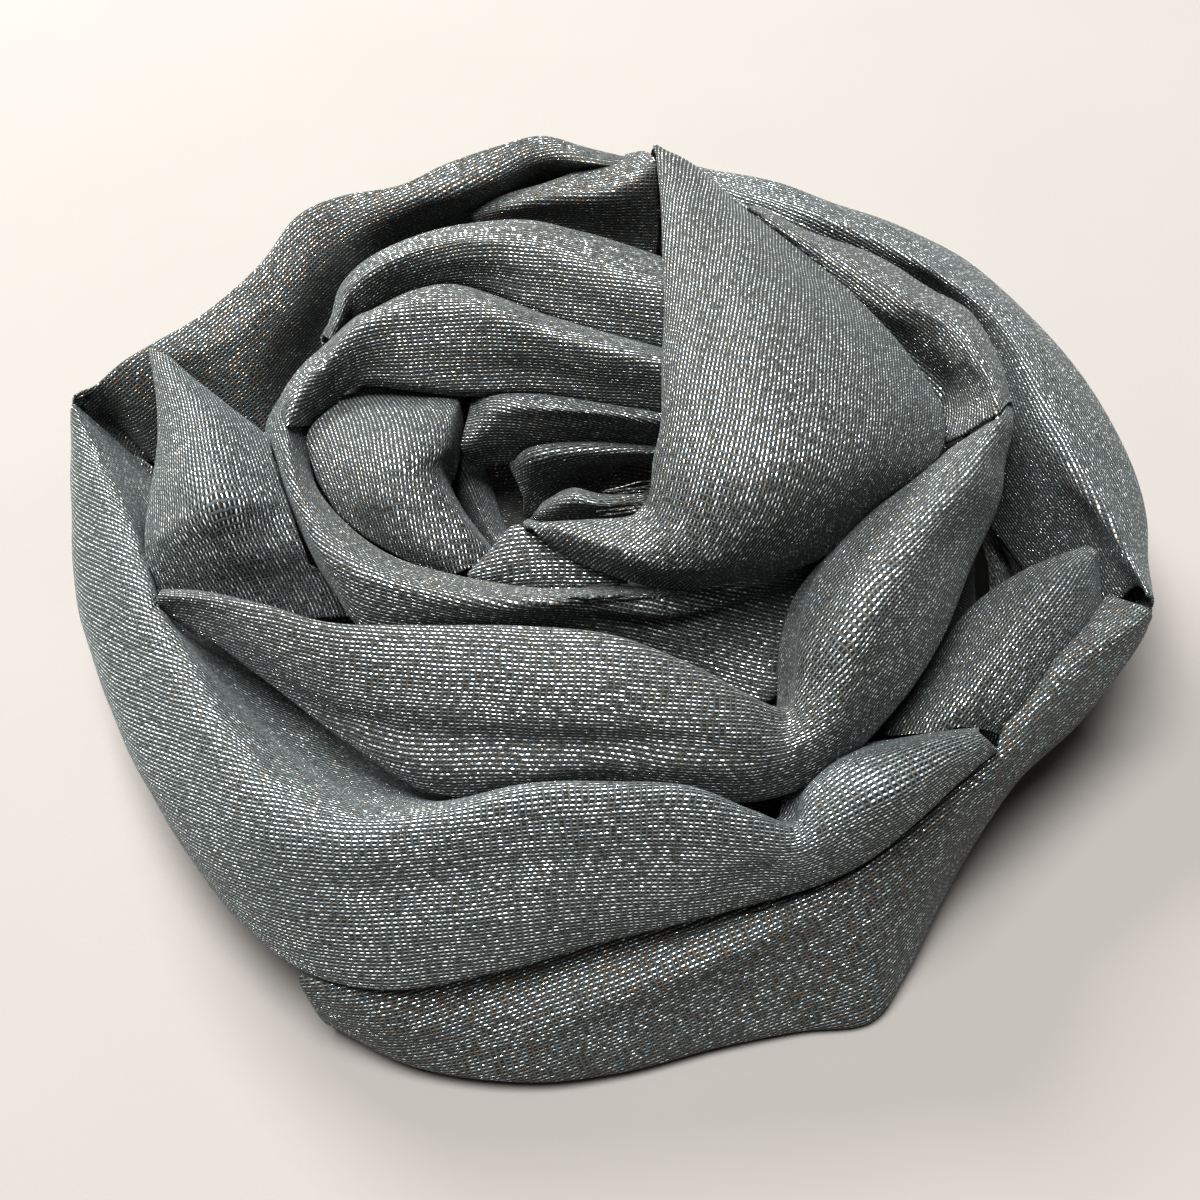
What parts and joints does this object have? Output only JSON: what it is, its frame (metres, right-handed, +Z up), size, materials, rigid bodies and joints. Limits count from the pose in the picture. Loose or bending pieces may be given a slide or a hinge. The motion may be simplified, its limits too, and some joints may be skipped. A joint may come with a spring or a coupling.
{
  "type": "hijab wound into a rosette",
  "caption": "Shimmer hijab, a long openly woven head scarf, wound by hand into a low rose-like rosette and laid flat on a surface.",
  "frame": {"origin": "on the surface that the rosette lies on, at the middle of its width, on the flat underside of the wound core", "axes": "+Z up, +X across to the right, +Y to the back; the side that is seen first faces -Y"},
  "size_m": [0.1564, 0.1375, 0.061],
  "materials": {
    "shimmer_cloth": "open plain weave with silver metallic threads, soft shimmer",
    "shimmer_cloth_bright": "the same weave where it faces the light, bluish-white sparkle",
    "shimmer_cloth_shade": "the same weave turned from the light, warm grey with bronze glints",
    "shimmer_cloth_inner": "the same weave in the hidden layers, matt and dark"
  },
  "bodies": {
    "root": {"big_petal": "shimmer_cloth", "front_band_second": "shimmer_cloth", "front_band_outer": "shimmer_cloth_bright", "front_band_inner": "shimmer_cloth", "left_petal": "shimmer_cloth_bright", "back_roll_upper": "shimmer_cloth", "back_roll_middle": "shimmer_cloth", "back_right_roll": "shimmer_cloth", "right_ring": "shimmer_cloth_bright", "back_ring": "shimmer_cloth_shade", "back_ridge": "shimmer_cloth_shade", "inner_left_lobe": "shimmer_cloth", "back_roll_lower": "shimmer_cloth", "back_roll_deep": "shimmer_cloth", "eye_front_fold": "shimmer_cloth", "eye_curl": "shimmer_cloth", "eye_tongue": "shimmer_cloth", "right_lobe": "shimmer_cloth", "skirt_front": "shimmer_cloth_shade", "back_band": "shimmer_cloth_shade", "back_skirt": "shimmer_cloth_shade", "wound_core": "shimmer_cloth_inner"}
  },
  "joints": []
}
